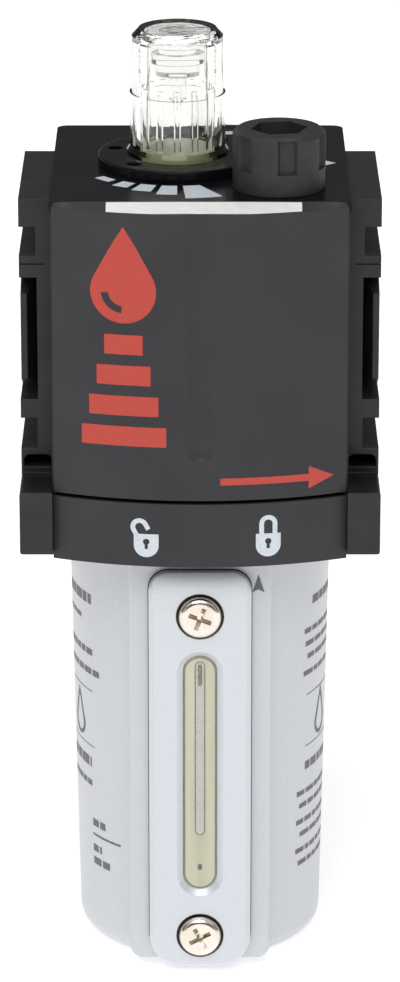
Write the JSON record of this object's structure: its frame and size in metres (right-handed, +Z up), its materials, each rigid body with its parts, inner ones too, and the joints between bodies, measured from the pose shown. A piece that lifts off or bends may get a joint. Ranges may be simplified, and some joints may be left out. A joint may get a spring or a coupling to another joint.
{
  "type": "air line lubricator",
  "caption": "Modular compressed-air lubricator: ported body with clamp flanges, clear drip dome, fluted oil fill plug and bayonet metal bowl with a sight glass.",
  "frame": {"origin": "centre of the bowl's underside, on the bowl's axis", "axes": "+Z up along the bowl's axis, +X along the air flow from inlet to outlet, -Y towards the front cover and sight glass"},
  "size_m": [0.08, 0.0788, 0.2147],
  "materials": {
    "cast_black": "semi-gloss black paint on die casting",
    "cap_plastic": "black moulded, fine texture",
    "cover_plastic": "dark grey moulded, satin",
    "label_film": "blank white film",
    "clear_plastic": "clear moulded polycarbonate",
    "seal_rubber": "black nitrile",
    "spring_steel": "bright spring steel",
    "steel": "ground steel",
    "brass": "turned brass",
    "moulded_black": "matte black moulded",
    "tube_plastic": "natural nylon",
    "silver_paint": "fine silver metallic paint",
    "bezel_paint": "fine silver metallic paint",
    "sight_clear": "clear moulded, faint olive tint",
    "screw_nickel": "nickel plated"
  },
  "bodies": {
    "body": {"housing": "cast_black", "top_cap": "cap_plastic", "label_strip": "label_film", "front_cover": "cover_plastic", "rear_cover": "cover_plastic", "front_lock_band": "cover_plastic", "rear_lock_band": "cover_plastic", "dome_clip": "spring_steel", "feed_insert": "brass", "feed_insert_seal": "seal_rubber", "venturi_insert": "moulded_black", "flap_pin": "steel", "pressure_jet": "brass", "siphon_fitting": "brass", "siphon_tube": "tube_plastic", "siphon_strainer": "tube_plastic", "splash_baffle": "moulded_black"},
    "feed_knob": {"adjust_ring": "cap_plastic", "sight_dome": "clear_plastic", "drip_nozzle": "clear_plastic", "drip_funnel": "tube_plastic", "dome_seal": "seal_rubber"},
    "needle": {"metering_needle": "steel"},
    "flap": {"bypass_flap": "moulded_black"},
    "plug_seal": {"fill_plug_seal": "seal_rubber"},
    "plug": {"fill_plug": "moulded_black"},
    "check_ball": {"siphon_ball": "steel"},
    "bowl": {"bowl": "silver_paint", "bowl_seal": "seal_rubber", "sight_bezel": "bezel_paint", "sight_glass": "sight_clear", "sight_gasket": "seal_rubber", "screw_washers": "seal_rubber", "bezel_screws": "screw_nickel"}
  },
  "joints": [
    {"name": "bowl_turn", "type": "hinge", "parent": "body", "child": "bowl", "pos_m": [0, 0, 0.109], "axis": [0, 0, 1], "range_deg": [-40, 0]},
    {"name": "feed_turn", "type": "hinge", "parent": "body", "child": "feed_knob", "pos_m": [-0.005, 0, 0.185], "axis": [0, 0, 1], "range_deg": [-17.5, 53]},
    {"name": "needle_lift", "type": "slide", "parent": "feed_knob", "child": "needle", "axis": [0, 0, 1], "range_m": [-0.00015, 0.00045]},
    {"name": "bypass_swing", "type": "hinge", "parent": "body", "child": "flap", "pos_m": [0.0006, 0, 0.1509], "axis": [0, -1, 0], "range_deg": [0, 60], "stiffness_Nm_per_rad": 0.0005},
    {"name": "fill_plug_lift", "type": "slide", "parent": "body", "child": "plug_seal", "axis": [0, 0, 1], "range_m": [0, 0.009]},
    {"name": "fill_plug_turn", "type": "hinge", "parent": "plug_seal", "child": "plug", "pos_m": [0.0173, -0.0205, 0.185], "axis": [0, 0, 1], "range_deg": [0, 1620]},
    {"name": "siphon_ball_lift", "type": "slide", "parent": "body", "child": "check_ball", "axis": [0, 0, 1], "range_m": [0, 0.0015]}
  ],
  "couplings": [
    {"joint": "needle_lift", "follows": "feed_turn", "m_per_rad": 0.000477},
    {"joint": "fill_plug_lift", "follows": "fill_plug_turn", "m_per_rad": 0.000318}
  ]
}
